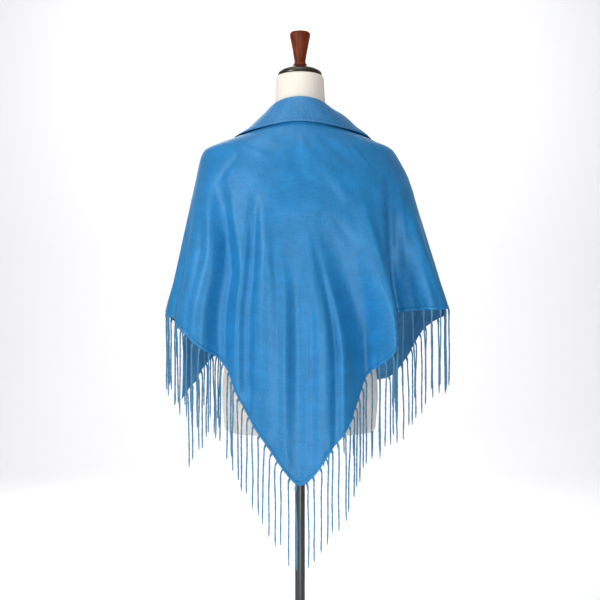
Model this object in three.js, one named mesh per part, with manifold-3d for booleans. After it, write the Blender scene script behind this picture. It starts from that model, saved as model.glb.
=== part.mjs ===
import * as THREE from 'three';
import Module from 'manifold-3d';

// Fringed triangular shawl, worn on a limbless dress form.
// Millimetres, +Z up, the floor at Z = 0 under the middle of the base.
// The shawl's back faces +Y and the wearer's right is -X. An angle called `at` is in degrees,
// measured round the form from the middle of the back, positive to the wearer's right.

const wasm = await Module();
wasm.setup();

// Cloth
const CLOTH = 1.8;
const SEAM = 0.3;
const HEM_BAND = 9;
const HEM_RAMP = 2;
const HEM_RAISE = 0.6;
const SIDE_LINE = 92;
const LEFT_END = -194;
const RIGHT_END = 241.5;
// Half the gap at a side seam, as an angle, at the neck where the wrap is narrowest
const SEAM_ANGLE = 0.17;
// Columns are spaced evenly at this height, and rows lie closer over the shoulders
const STATION_HEIGHT = 925;
const ROW_GROWTH = 1.3;

// The right wing lies this far outside the left one, from where the two meet
const OVERLAP_STEP = 10;
const OVERLAP_FROM = 132;
const OVERLAP_FULL = 160;

// Collar
const ROLL_RADIUS = 4.5;
const COLLAR_END = 118;
const ROLL_STEPS = 3;
const FALL_STEPS = 3;

// Fringe
const STRAND_WIDTH = 3;
const STRAND_LENGTH = 165;
const STRAND_PITCH = 20.7;
const STRIP_DEPTH = 3;
const STRAND_SWAY = 3;

// Dress form
const CAP_RADIUS = 45;
const CAP_BOTTOM = 1430;
const KNOB_BOTTOM = 1449.5;
const POLE_RADIUS = 10.5;
const BASE_RADIUS = 175;
const BASE_HEIGHT = 14;

// Half widths of the wrapped cloth at each height: to the wearer's left and right,
// to the back and the front. round is the section's power, 2 for an ellipse.
const SECTIONS = [
  { height: 590, left: 288, right: 320, back: 130, front: 152, round: 2 },
  { height: 800, left: 286, right: 318, back: 134, front: 152, round: 2 },
  { height: 935, left: 282, right: 311, back: 136, front: 150, round: 2 },
  { height: 1000, left: 266, right: 292, back: 136, front: 148, round: 2 },
  { height: 1130, left: 237, right: 254, back: 133, front: 143, round: 2 },
  { height: 1212, left: 219, right: 229, back: 124, front: 126, round: 1.9 },
  { height: 1254, left: 210, right: 208, back: 113, front: 107, round: 1.8 },
  { height: 1276, left: 198, right: 189, back: 105, front: 94, round: 1.75 },
  { height: 1288, left: 172, right: 166, back: 100, front: 87, round: 1.75 },
  { height: 1300, left: 136, right: 140, back: 94, front: 80, round: 1.8 },
  { height: 1312, left: 104, right: 108, back: 88, front: 74, round: 1.85 },
  { height: 1330, left: 78, right: 82, back: 80, front: 67, round: 1.95 },
  { height: 1352, left: 62, right: 62, back: 71, front: 61, round: 2 },
  { height: 1374, left: 57, right: 57, back: 63, front: 56, round: 2 },
];

// Height of the upper edge, where the collar rolls over, and of the two wings' front edges
const UPPER_EDGE = [
  { at: -194, height: 880 },
  { at: -192, height: 930 },
  { at: -188, height: 1060 },
  { at: -180, height: 1206 },
  { at: -165, height: 1239 },
  { at: -140, height: 1282 },
  { at: -115, height: 1324 },
  { at: -90, height: 1344 },
  { at: -45, height: 1361 },
  { at: 0, height: 1368 },
  { at: 45, height: 1361 },
  { at: 90, height: 1344 },
  { at: 115, height: 1324 },
  { at: 140, height: 1282 },
  { at: 165, height: 1239 },
  { at: 180, height: 1206 },
  { at: 200, height: 1134 },
  { at: 220, height: 1036 },
  { at: 234, height: 938 },
  { at: 241.5, height: 870 },
];

// Height of the turned-down collar's free edge, and how far it stands off the shoulders
const COLLAR_EDGE = [
  { at: -132, height: 1283, stand: 6 },
  { at: -115, height: 1300, stand: 5 },
  { at: -90, height: 1305, stand: 4 },
  { at: -60, height: 1311, stand: 6 },
  { at: 0, height: 1319, stand: 8 },
  { at: 60, height: 1311, stand: 6 },
  { at: 90, height: 1303, stand: 5 },
  { at: 115, height: 1299, stand: 5 },
  { at: 132, height: 1283, stand: 6 },
];

// Height of the fringed hem, from the left wing's corner round the back's point to the right wing's
const HEM = [
  { at: -194, height: 712 },
  { at: -186, height: 752 },
  { at: -175, height: 800 },
  { at: -155, height: 848 },
  { at: -114, height: 905 },
  { at: -90, height: 934 },
  { at: -70, height: 925 },
  { at: -58, height: 905 },
  { at: -48, height: 882 },
  { at: -32, height: 818 },
  { at: -20, height: 719 },
  { at: -12, height: 664 },
  { at: -5, height: 614 },
  { at: 0, height: 593 },
  { at: 5, height: 613 },
  { at: 12, height: 668 },
  { at: 18, height: 710 },
  { at: 26, height: 800 },
  { at: 35, height: 860 },
  { at: 39.5, height: 920 },
  { at: 46, height: 934 },
  { at: 75, height: 942 },
  { at: 92, height: 939 },
  { at: 105, height: 925 },
  { at: 118, height: 904 },
  { at: 124, height: 883 },
  { at: 140, height: 796 },
  { at: 148, height: 782 },
  { at: 165, height: 785 },
  { at: 185, height: 804 },
  { at: 215, height: 842 },
  { at: 222, height: 830 },
  { at: 230, height: 790 },
  { at: 241.5, height: 743 },
];

// Folds: the angle each has where it starts and where it is full, its half width in degrees,
// how far it stands out (or in, below zero), how far it leans round, and the heights it grows between
const FOLDS = [
  { name: 'left flute', top: -66, low: -50, half: 15, out: 15, lean: -4, start: 1240, full: 940 },
  { name: 'left trough', top: -51, low: -28, half: 8.5, out: -17, lean: 0, start: 1240, full: 930 },
  { name: 'left rib', top: -56, low: -37, half: 7, out: 11, lean: 0, start: 1230, full: 900 },
  { name: 'left rib trough', top: -27, low: -20, half: 4.5, out: -7, lean: 0, start: 1200, full: 930 },
  { name: 'inner left swell', top: -20, low: -12, half: 8, out: 8, lean: 0, start: 1180, full: 860 },
  { name: 'centre trough', top: -5, low: -4.5, half: 4.5, out: -7, lean: 0, start: 1060, full: 900 },
  { name: 'centre rib', top: -1.5, low: 0.5, half: 4, out: 6, lean: 0, start: 1090, full: 900 },
  { name: 'right rib', top: 3.5, low: 8.5, half: 4.5, out: 8, lean: 0, start: 1090, full: 880 },
  { name: 'right trough', top: 14, low: 23, half: 9.5, out: -22, lean: 0, start: 1110, full: 880 },
  { name: 'right ridge', top: 29, low: 32, half: 8, out: 15, lean: 8, start: 1230, full: 860 },
  { name: 'right pleat', top: 44, low: 41, half: 7.5, out: -44, lean: 0, start: 1240, full: 930 },
  { name: 'pleat lip', top: 56, low: 59, half: 7, out: 8, lean: 0, start: 1210, full: 930 },
  { name: 'right side trough', top: 53, low: 50, half: 10, out: -26, lean: 0, start: 1180, full: 940 },
  { name: 'right flute', top: 66, low: 80, half: 12, out: 5, lean: 0, start: 1240, full: 940 },
  { name: 'right front trough', top: 108, low: 122, half: 10, out: -9, lean: 0, start: 1210, full: 940 },
  { name: 'right front flute', top: 118, low: 140, half: 13, out: 11, lean: 0, start: 1220, full: 880 },
  { name: 'front trough', top: 142, low: 160, half: 11, out: -10, lean: 0, start: 1190, full: 880 },
  { name: 'front flute', top: 158, low: 180, half: 13, out: 9, lean: 0, start: 1170, full: 860 },
  { name: 'left front trough', top: 182, low: 203, half: 12, out: -10, lean: 0, start: 1150, full: 860 },
  { name: 'left front flute', top: 202, low: 222, half: 12, out: 8, lean: 0, start: 1150, full: 860 },
];

// Each stretch of the shawl: where it runs from and to, and how finely it is divided
const PANELS = [
  { name: 'shawl_back', fringe: 'fringe_back', from: -SIDE_LINE, to: SIDE_LINE, columns: 52, rows: 14 },
  { name: 'shawl_left_wing', fringe: 'fringe_left_wing', from: LEFT_END, to: -SIDE_LINE, columns: 20, rows: 9 },
  { name: 'shawl_right_wing', fringe: 'fringe_right_wing', from: SIDE_LINE, to: RIGHT_END, columns: 32, rows: 10 },
];

// Half widths of the dress form's body and neck
const BODY = [
  { height: 685, side: 150, back: 88, front: 84, round: 2.2 },
  { height: 693, side: 158, back: 95, front: 91, round: 2.2 },
  { height: 775, side: 163, back: 112, front: 102, round: 2.1 },
  { height: 860, side: 150, back: 104, front: 98, round: 2 },
  { height: 975, side: 112, back: 80, front: 92, round: 2 },
  { height: 1060, side: 126, back: 90, front: 112, round: 2 },
  { height: 1130, side: 142, back: 102, front: 132, round: 2 },
  { height: 1200, side: 154, back: 106, front: 120, round: 1.9 },
  { height: 1250, side: 172, back: 104, front: 101, round: 1.8 },
  { height: 1272, side: 176, back: 98, front: 89, round: 1.75 },
  { height: 1286, side: 156, back: 93, front: 82, round: 1.75 },
  { height: 1299, side: 127, back: 88, front: 75, round: 1.8 },
  { height: 1312, side: 97, back: 82, front: 68, round: 1.85 },
  { height: 1330, side: 73, back: 74, front: 61, round: 1.95 },
  { height: 1352, side: 57, back: 65, front: 55, round: 2 },
  { height: 1380, side: 52, back: 56, front: 50, round: 2 },
  { height: 1415, side: 47, back: 48, front: 46, round: 2 },
  { height: 1429.7, side: 44, back: 44, front: 44, round: 2 },
];

// The turned knob's outline from its foot to its top
const KNOB = [
  { radius: 13, height: 0 },
  { radius: 13.5, height: 3 },
  { radius: 12, height: 6 },
  { radius: 9.5, height: 9 },
  { radius: 10, height: 16 },
  { radius: 13, height: 32 },
  { radius: 16.5, height: 48 },
  { radius: 19, height: 60 },
  { radius: 19.8, height: 66 },
  { radius: 19, height: 70 },
  { radius: 14, height: 72.5 },
];

const COLOURS = {
  shawl: '#3f8ac6',
  fringe: '#3a7aa8',
  body: '#f5efe3',
  cap: '#55524c',
  knob: '#6e3f22',
  pole: '#5f6766',
};

const DOWN = new THREE.Vector3(0, 0, -1);
const UP = new THREE.Vector3(0, 0, 1);
const radians = THREE.MathUtils.degToRad;

function rise(t) {
  return THREE.MathUtils.smoothstep(t, 0, 1);
}

// A smooth curve through one column of a table, whose rows are in order of the key column
function tableAt(rows, key, column, x) {
  const last = rows.length - 1;
  const held = THREE.MathUtils.clamp(x, rows[0][key], rows[last][key]);
  let i = 0;
  while (i < last - 1 && rows[i + 1][key] <= held) {
    i += 1;
  }
  const slope = (k) => {
    const a = rows[Math.max(k - 1, 0)];
    const b = rows[Math.min(k + 1, last)];
    return (b[column] - a[column]) / (b[key] - a[key]);
  };
  const span = rows[i + 1][key] - rows[i][key];
  const t = (held - rows[i][key]) / span;
  const near = rows[i][column] * (1 + 2 * t) * (1 - t) ** 2 + slope(i) * span * t * (1 - t) ** 2;
  const far = rows[i + 1][column] * t * t * (3 - 2 * t) + slope(i + 1) * span * t * t * (t - 1);
  return near + far;
}

// A point on a rounded section with its own half width on each of its four sides
function sectionPoint(at, size) {
  const s = Math.sin(radians(at));
  const c = Math.cos(radians(at));
  const power = 2 / size.round;
  const x = -(s > 0 ? size.right : size.left) * Math.sign(s) * Math.abs(s) ** power;
  const y = (c > 0 ? size.back : size.front) * Math.sign(c) * Math.abs(c) ** power;
  return new THREE.Vector2(x, y);
}

function wrapSection(height) {
  const size = {};
  for (const column of ['left', 'right', 'back', 'front', 'round']) {
    size[column] = tableAt(SECTIONS, 'height', column, height);
  }
  return size;
}

function turned(angle) {
  return THREE.MathUtils.euclideanModulo(angle + 180, 360) - 180;
}

// How far the folds carry the cloth out and round at this place
function foldShift(at, height) {
  const shift = { out: 0, lean: 0 };
  for (const fold of FOLDS) {
    const grown = (fold.start - height) / (fold.start - fold.full);
    const middle = fold.top + (fold.low - fold.top) * THREE.MathUtils.clamp(grown, 0, 1);
    const s = turned(at - middle) / fold.half;
    if (Math.abs(s) < 1) {
      const share = (1 - s * s) ** 2 * rise(grown);
      shift.out += fold.out * share;
      shift.lean += fold.lean * share;
    }
  }
  return shift;
}

// The cloth's outer face at an angle and a height
function clothPoint(at, height) {
  const size = wrapSection(height);
  const here = sectionPoint(at, size);
  const along = sectionPoint(at + 0.5, size).sub(sectionPoint(at - 0.5, size)).normalize();
  const outward = new THREE.Vector2(along.y, -along.x);
  const shift = foldShift(at, height);
  here.addScaledVector(outward, shift.out).addScaledVector(along, shift.lean);
  return new THREE.Vector3(here.x, here.y, height);
}

// The outer face with its outward direction and its direction round the form
function clothFrame(at, height) {
  const point = clothPoint(at, height);
  const along = clothPoint(at + 0.2, height).sub(clothPoint(at - 0.2, height));
  const down = clothPoint(at, height - 1).sub(clothPoint(at, height + 1));
  const normal = new THREE.Vector3().crossVectors(down, along).normalize();
  return { point, normal, along: along.normalize() };
}

function overlapStep(at) {
  return OVERLAP_STEP * rise((at - OVERLAP_FROM) / (OVERLAP_FULL - OVERLAP_FROM));
}

function geometryFrom(points, triangles) {
  const geometry = new THREE.BufferGeometry();
  geometry.setAttribute('position', new THREE.Float32BufferAttribute(points.flatMap((p) => p.toArray()), 3));
  geometry.setIndex(triangles.flat());
  return geometry;
}

// A closed wall between two grids of points of one size, the outer one facing out
function closedWall(outer, inner) {
  const columns = outer.length;
  const rows = outer[0].length;
  const count = columns * rows;
  const index = (i, j) => i * rows + j;
  const triangles = [];
  for (let i = 0; i < columns - 1; i += 1) {
    for (let j = 0; j < rows - 1; j += 1) {
      const a = index(i, j);
      const b = index(i, j + 1);
      const c = index(i + 1, j + 1);
      const d = index(i + 1, j);
      triangles.push([a, b, c], [a, c, d]);
      triangles.push([count + a, count + c, count + b], [count + a, count + d, count + c]);
    }
  }
  // Facing edges are split along one diagonal, so that two pieces meet evenly at a seam
  const edge = (a, b) => {
    triangles.push([b, a, count + a], [b, count + a, count + b]);
  };
  const facingEdge = (a, b) => {
    triangles.push([b, a, count + b], [a, count + a, count + b]);
  };
  for (let j = 0; j < rows - 1; j += 1) {
    facingEdge(index(0, j), index(0, j + 1));
    edge(index(columns - 1, j + 1), index(columns - 1, j));
  }
  for (let i = 0; i < columns - 1; i += 1) {
    facingEdge(index(i + 1, 0), index(i, 0));
    edge(index(i, rows - 1), index(i + 1, rows - 1));
  }
  return geometryFrom([...outer.flat(), ...inner.flat()], triangles);
}

// Angles that divide a stretch of cloth into equal lengths along its folds
function stations(from, to, count, height) {
  const fine = count * 12;
  const angles = [];
  const lengths = [0];
  for (let k = 0; k <= fine; k += 1) {
    angles.push(from + ((to - from) * k) / fine);
  }
  for (let k = 1; k <= fine; k += 1) {
    const step = clothPoint(angles[k], height).distanceTo(clothPoint(angles[k - 1], height));
    lengths.push(lengths[k - 1] + step);
  }
  const result = [];
  let k = 0;
  for (let i = 0; i <= count; i += 1) {
    const target = (lengths[fine] * i) / count;
    while (k < fine - 1 && lengths[k + 1] < target) {
      k += 1;
    }
    const share = (target - lengths[k]) / (lengths[k + 1] - lengths[k]);
    result.push(angles[k] + (angles[k + 1] - angles[k]) * share);
  }
  return result;
}

function hemHeight(at) {
  return tableAt(HEM, 'at', 'height', at);
}

function upperHeight(at) {
  return tableAt(UPPER_EDGE, 'at', 'height', at);
}

// A panel's angles, with its two side seams half a gap in
function panelAngles(panel) {
  const angles = stations(panel.from, panel.to, panel.columns, STATION_HEIGHT);
  angles[0] += SEAM_ANGLE;
  angles[panel.columns] -= SEAM_ANGLE;
  return angles;
}

// One stretch of the shawl, from its upper edge to its hem, the hem's band standing off its face
function panelGeometry(panel) {
  const outer = [];
  const inner = [];
  for (const at of panelAngles(panel)) {
    const upper = upperHeight(at);
    const hem = hemHeight(at);
    const bandTop = hem + HEM_BAND + HEM_RAMP;
    const lines = [];
    for (let j = 0; j <= panel.rows; j += 1) {
      const share = (j / panel.rows) ** ROW_GROWTH;
      lines.push({ height: upper + (bandTop - upper) * share, raise: 0 });
    }
    lines.push({ height: hem + HEM_BAND, raise: HEM_RAISE }, { height: hem, raise: HEM_RAISE });
    const outside = [];
    const inside = [];
    for (const line of lines) {
      const { point, normal } = clothFrame(at, line.height);
      outside.push(point.clone().addScaledVector(normal, overlapStep(at) + line.raise));
      inside.push(point.clone().addScaledVector(normal, overlapStep(at) - CLOTH));
    }
    outer.push(outside);
    inner.push(inside);
  }
  return closedWall(outer, inner);
}

// The panels' own angles, so that the collar meets their upper edges evenly
function collarAngles() {
  const angles = PANELS.flatMap((panel) => stations(panel.from, panel.to, panel.columns, STATION_HEIGHT));
  const reached = angles.filter((at) => Math.abs(at) <= COLLAR_END);
  return [...new Set(reached)].sort((a, b) => a - b);
}

// The upper edge rolled over outwards and laid down round the neck
function collarGeometry() {
  const outer = [];
  const inner = [];
  for (const at of collarAngles()) {
    const upper = upperHeight(at);
    const edge = tableAt(COLLAR_EDGE, 'at', 'height', at);
    const stand = tableAt(COLLAR_EDGE, 'at', 'stand', at);
    const { point, normal } = clothFrame(at, upper);
    const climb = UP.clone().addScaledVector(normal, -normal.z).normalize();
    const start = point.addScaledVector(normal, overlapStep(at) - CLOTH / 2).addScaledVector(climb, SEAM);
    const centre = start.clone().addScaledVector(normal, ROLL_RADIUS);
    const outside = [];
    const inside = [];
    const place = (middle, face) => {
      outside.push(middle.clone().addScaledVector(face, CLOTH / 2));
      inside.push(middle.clone().addScaledVector(face, -CLOTH / 2));
    };
    for (let k = 0; k <= ROLL_STEPS; k += 1) {
      const turn = Math.PI * (1 - k / ROLL_STEPS);
      const face = normal.clone().multiplyScalar(Math.cos(turn)).addScaledVector(climb, Math.sin(turn));
      place(centre.clone().addScaledVector(face, ROLL_RADIUS), face);
    }
    for (let k = 1; k <= FALL_STEPS; k += 1) {
      const share = k / FALL_STEPS;
      const under = clothFrame(at, upper + (edge - upper) * share);
      const off = THREE.MathUtils.lerp(2 * ROLL_RADIUS - CLOTH / 2, stand, share) + overlapStep(at);
      place(under.point.addScaledVector(under.normal, off), under.normal);
    }
    outer.push(outside);
    inner.push(inside);
  }
  return closedWall(outer, inner);
}

// The hem's edge: its middle point, the direction round it, out of the cloth's face, and off the edge
function hemFrame(at) {
  const edgePoint = (angle) => {
    const { point, normal } = clothFrame(angle, hemHeight(angle));
    return point.addScaledVector(normal, overlapStep(angle) + (HEM_RAISE - CLOTH) / 2);
  };
  const along = edgePoint(at + 0.2).sub(edgePoint(at - 0.2)).normalize();
  const { normal } = clothFrame(at, hemHeight(at));
  const away = new THREE.Vector3().crossVectors(along, normal).normalize();
  return { point: edgePoint(at), along, normal, away };
}

// The narrow strip that the strands hang from, just off the hem
function stripGeometry(panel) {
  const outer = [];
  const inner = [];
  const half = (CLOTH + HEM_RAISE) / 2;
  for (const at of panelAngles(panel)) {
    const { point, normal, away } = hemFrame(at);
    const top = point.clone().addScaledVector(away, SEAM);
    const bottom = point.clone().addScaledVector(away, SEAM + STRIP_DEPTH);
    outer.push([top, bottom].map((p) => p.clone().addScaledVector(normal, half)));
    inner.push([top, bottom].map((p) => p.clone().addScaledVector(normal, -half)));
  }
  return closedWall(outer, inner);
}

// A repeatable value from -1 to 1 for each strand, so that no two hang alike
function vary(number, kind) {
  const value = Math.sin(number * 12.9898 + kind * 78.233) * 43758.5453;
  return 2 * (value - Math.floor(value)) - 1;
}

// One strand: three-sided, leaving the hem square to it and turning to hang straight down
function strandGeometry(place, number) {
  const { point, along, normal, away } = place;
  const sway = new THREE.Vector3()
    .addScaledVector(along, vary(number, 1) * STRAND_SWAY)
    .addScaledVector(normal, vary(number, 2) * STRAND_SWAY);
  sway.z = 0;
  const length = STRAND_LENGTH * (1 + 0.06 * vary(number, 3));
  const root = point.clone().addScaledVector(away, SEAM + STRIP_DEPTH / 2);
  const turn = root.clone().addScaledVector(away, 12).addScaledVector(DOWN, 7);
  const end = turn.clone().addScaledVector(DOWN, length * 0.9).add(sway);
  const path = [root, turn, end];
  const points = [];
  const triangles = [];
  const sides = 3;
  path.forEach((middlePoint, k) => {
    const before = path[Math.max(k - 1, 0)];
    const after = path[Math.min(k + 1, path.length - 1)];
    const direction = after.clone().sub(before).normalize();
    const across = new THREE.Vector3().crossVectors(normal, direction).normalize();
    const out = new THREE.Vector3().crossVectors(direction, across).normalize();
    for (let side = 0; side < sides; side += 1) {
      const angle = (2 * Math.PI * (side + 0.25)) / sides;
      const offset = across.clone().multiplyScalar(Math.cos(angle)).addScaledVector(out, Math.sin(angle));
      points.push(middlePoint.clone().addScaledVector(offset, STRAND_WIDTH / 2));
    }
  });
  for (let k = 0; k < path.length - 1; k += 1) {
    for (let side = 0; side < sides; side += 1) {
      const a = k * sides + side;
      const b = k * sides + ((side + 1) % sides);
      triangles.push([a, b, b + sides], [a, b + sides, a + sides]);
    }
  }
  const tail = (path.length - 1) * sides;
  triangles.push([0, 2, 1], [tail, tail + 1, tail + 2]);
  return geometryFrom(points, triangles);
}

function toManifold(geometry) {
  const mesh = new wasm.Mesh({
    numProp: 3,
    vertProperties: new Float32Array(geometry.getAttribute('position').array),
    triVerts: new Uint32Array(geometry.getIndex().array),
  });
  return new wasm.Manifold(mesh);
}

function fromManifold(solid) {
  const mesh = solid.getMesh();
  const geometry = new THREE.BufferGeometry();
  geometry.setAttribute('position', new THREE.BufferAttribute(new Float32Array(mesh.vertProperties), 3));
  geometry.setIndex(new THREE.BufferAttribute(new Uint32Array(mesh.triVerts), 1));
  return geometry;
}

// A panel's fringe: its strip with a strand fused to it at every pitch along the hem
function fringeGeometry(panel) {
  let solid = toManifold(stripGeometry(panel));
  const frames = panelAngles(panel).map(hemFrame);
  let next = STRAND_PITCH / 2;
  let number = 0;
  for (let i = 1; i < frames.length; i += 1) {
    const length = frames[i].point.distanceTo(frames[i - 1].point);
    while (next < length) {
      const place = between(frames[i - 1], frames[i], next / length);
      solid = solid.add(toManifold(strandGeometry(place, number)));
      number += 1;
      next += STRAND_PITCH;
    }
    next -= length;
  }
  return fromManifold(solid);
}

function between(a, b, share) {
  return {
    point: a.point.clone().lerp(b.point, share),
    along: a.along.clone().lerp(b.along, share).normalize(),
    normal: a.normal.clone().lerp(b.normal, share).normalize(),
    away: a.away.clone().lerp(b.away, share).normalize(),
  };
}

// A smooth closed body through rounded sections, each its own height
function bodyGeometry(rows, columns, levels) {
  const points = [];
  const triangles = [];
  const low = rows[0].height;
  const high = rows[rows.length - 1].height;
  const heights = rows.map((row) => row.height);
  for (let k = 0; k < heights.length - 1; k += 1) {
    const parts = Math.max(1, Math.round((heights[k + 1] - heights[k]) / levels));
    for (let m = 0; m < parts; m += 1) {
      const height = heights[k] + ((heights[k + 1] - heights[k]) * m) / parts;
      points.push(...bodyRing(rows, height, columns));
    }
  }
  points.push(...bodyRing(rows, high, columns));
  const rings = points.length / columns;
  for (let k = 0; k < rings - 1; k += 1) {
    for (let i = 0; i < columns; i += 1) {
      const a = k * columns + i;
      const b = k * columns + ((i + 1) % columns);
      triangles.push([a, b + columns, a + columns], [a, b, b + columns]);
    }
  }
  const foot = points.length;
  points.push(new THREE.Vector3(0, 0, low), new THREE.Vector3(0, 0, high));
  for (let i = 0; i < columns; i += 1) {
    const next = (i + 1) % columns;
    triangles.push([foot, next, i]);
    triangles.push([foot + 1, (rings - 1) * columns + i, (rings - 1) * columns + next]);
  }
  return geometryFrom(points, triangles);
}

function bodyRing(rows, height, columns) {
  const side = tableAt(rows, 'height', 'side', height);
  const size = {
    left: side,
    right: side,
    back: tableAt(rows, 'height', 'back', height),
    front: tableAt(rows, 'height', 'front', height),
    round: tableAt(rows, 'height', 'round', height),
  };
  const points = [];
  for (let i = 0; i < columns; i += 1) {
    const place = sectionPoint((360 * i) / columns, size);
    points.push(new THREE.Vector3(place.x, place.y, height));
  }
  return points;
}

// A turned solid from an outline that starts and ends on the axis
function turnedGeometry(outline, segments) {
  const profile = outline.map((row) => new THREE.Vector2(row.radius, row.height));
  return new THREE.LatheGeometry(profile, segments).rotateX(Math.PI / 2);
}

function capOutline() {
  const rim = 5;
  const dome = 14;
  const outline = [
    { radius: 0, height: 0 },
    { radius: CAP_RADIUS - 1, height: 0 },
    { radius: CAP_RADIUS, height: 1 },
    { radius: CAP_RADIUS, height: rim },
  ];
  const steps = 4;
  for (let k = 1; k <= steps; k += 1) {
    const turn = (Math.PI / 2) * (k / (steps + 1));
    outline.push({ radius: CAP_RADIUS * Math.cos(turn), height: rim + dome * Math.sin(turn) });
  }
  outline.push({ radius: 0, height: KNOB_BOTTOM - SEAM - CAP_BOTTOM });
  return outline;
}

function fabric(colour, roughness) {
  return new THREE.MeshStandardMaterial({ color: colour, roughness, metalness: 0 });
}

const shawl = new THREE.Group();

function add(group, name, geometry, material, height = 0) {
  const mesh = new THREE.Mesh(geometry, material);
  mesh.name = name;
  mesh.position.z = height;
  group.add(mesh);
}

for (const panel of PANELS) {
  add(shawl, panel.name, panelGeometry(panel), fabric(COLOURS.shawl, 0.45));
  add(shawl, panel.fringe, fringeGeometry(panel), fabric(COLOURS.fringe, 0.7));
}
add(shawl, 'shawl_collar', collarGeometry(), fabric(COLOURS.shawl, 0.45));

const form = new THREE.Group();
const metal = { metalness: 1, roughness: 0.4 };
add(form, 'form_body', bodyGeometry(BODY, 28, 60), fabric(COLOURS.body, 0.85));
const capMaterial = new THREE.MeshStandardMaterial({ color: COLOURS.cap, ...metal });
add(form, 'form_neck_cap', turnedGeometry(capOutline(), 22), capMaterial, CAP_BOTTOM);
const knobOutline = [{ radius: 0, height: 0 }, ...KNOB, { radius: 0, height: 74 }];
const knobMaterial = new THREE.MeshStandardMaterial({ color: COLOURS.knob, metalness: 0, roughness: 0.4 });
add(form, 'form_knob', turnedGeometry(knobOutline, 16), knobMaterial, KNOB_BOTTOM);

const poleOutline = [
  { radius: 0, height: 0 },
  { radius: POLE_RADIUS, height: 0 },
  { radius: POLE_RADIUS, height: BODY[0].height - 2 * SEAM - BASE_HEIGHT },
  { radius: 0, height: BODY[0].height - 2 * SEAM - BASE_HEIGHT },
];
const poleMaterial = new THREE.MeshStandardMaterial({ color: COLOURS.pole, ...metal });
add(form, 'form_pole', turnedGeometry(poleOutline, 20), poleMaterial, BASE_HEIGHT + SEAM);

const baseOutline = [
  { radius: 0, height: 0 },
  { radius: BASE_RADIUS, height: 0 },
  { radius: BASE_RADIUS, height: 5 },
  { radius: BASE_RADIUS - 5, height: 8 },
  { radius: 40, height: BASE_HEIGHT },
  { radius: 0, height: BASE_HEIGHT },
];
const baseMaterial = new THREE.MeshStandardMaterial({ color: COLOURS.pole, ...metal });
add(form, 'form_base', turnedGeometry(baseOutline, 36), baseMaterial);

const object = new THREE.Group();
object.add(shawl, form);
export default object;
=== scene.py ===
"""Fringed triangular satin shawl wrapped round a limbless dress form.

Sizes in the tables are millimetres and degrees. The shawl's back faces +Y and the wearer's right
is -X. An angle called `at` runs round the form from the middle of the back, positive to the
wearer's right.
"""

import bpy
import numpy as np
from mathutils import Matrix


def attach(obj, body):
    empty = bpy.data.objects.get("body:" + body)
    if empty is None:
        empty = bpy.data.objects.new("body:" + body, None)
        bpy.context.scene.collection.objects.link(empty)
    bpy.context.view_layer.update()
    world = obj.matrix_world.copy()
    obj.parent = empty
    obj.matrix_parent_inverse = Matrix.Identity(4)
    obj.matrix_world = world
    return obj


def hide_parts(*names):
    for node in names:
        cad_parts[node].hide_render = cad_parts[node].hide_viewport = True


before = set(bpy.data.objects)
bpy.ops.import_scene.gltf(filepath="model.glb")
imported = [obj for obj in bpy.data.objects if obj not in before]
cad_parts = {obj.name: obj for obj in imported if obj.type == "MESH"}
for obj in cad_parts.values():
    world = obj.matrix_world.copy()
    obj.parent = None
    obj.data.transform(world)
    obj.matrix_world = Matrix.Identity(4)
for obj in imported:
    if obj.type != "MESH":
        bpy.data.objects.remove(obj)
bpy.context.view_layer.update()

bl_info = {
    "name": "Fringed triangular shawl on a dress form",
    "version": (1, 0, 0),
    "blender": (4, 5, 0),
    "location": "View3D > Sidebar > Shawl",
    "description": "Builds a draped satin shawl with knotted fringe, its dress form and a plain studio",
    "category": "Object",
}

MM = 0.001

# ---------------------------------------------------------------- the drape, in short tables

# Half widths of the wrapped cloth: height, to the wearer's left, right, the back, the front,
# and the power of the rounded section (2 is an ellipse)
SECTIONS = np.array([
    (590, 288, 320, 130, 152, 2.0),
    (800, 286, 318, 134, 152, 2.0),
    (935, 282, 311, 136, 150, 2.0),
    (1000, 266, 292, 136, 148, 2.0),
    (1130, 237, 254, 133, 143, 2.0),
    (1212, 219, 229, 124, 126, 1.9),
    (1254, 210, 208, 113, 107, 1.8),
    (1274, 201, 195, 106, 95, 1.75),
    (1281, 189, 185, 103, 91, 1.75),
    (1288, 172, 168, 100, 87, 1.75),
    (1300, 136, 140, 94, 80, 1.8),
    (1312, 104, 108, 88, 74, 1.85),
    (1330, 78, 82, 80, 67, 1.95),
    (1352, 62, 62, 71, 61, 2.0),
    (1374, 57, 57, 63, 56, 2.0),
])

# Upper edge, where the cloth rolls over: angle, height
UPPER_EDGE = np.array([
    (-194, 880), (-192, 930), (-188, 1060), (-180, 1206), (-165, 1239), (-140, 1282), (-115, 1324),
    (-90, 1344), (-45, 1361), (0, 1368), (45, 1361), (90, 1344), (115, 1324), (140, 1282),
    (165, 1239), (180, 1206), (200, 1134), (220, 1036), (234, 938), (241.5, 870),
], dtype=float)

# Turned-down collar: angle, how far its free edge lies below the upper edge, how far it stands off,
# the radius of its roll, and how far its middle bows out. Past the collar's ends it is the narrow
# hem of the long edge.
COLLAR = np.array([
    (-194, 5, 1.9, 1.1, 0), (-150, 5, 1.9, 1.1, 0), (-136, 7, 1.9, 1.5, 0), (-124, 16, 2.2, 3.0, 2),
    (-112, 31, 2.6, 4.4, 5), (-90, 44, 3.4, 4.6, 7), (-60, 50, 4.5, 4.6, 5), (0, 49, 5.0, 4.6, 2),
    (60, 50, 4.5, 4.8, 8), (90, 47, 3.4, 5.4, 13), (112, 36, 2.6, 4.6, 9), (124, 20, 2.2, 3.0, 3),
    (136, 7, 1.9, 1.5, 0), (150, 5, 1.9, 1.1, 0), (241.5, 5, 1.9, 1.1, 0),
], dtype=float)

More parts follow.
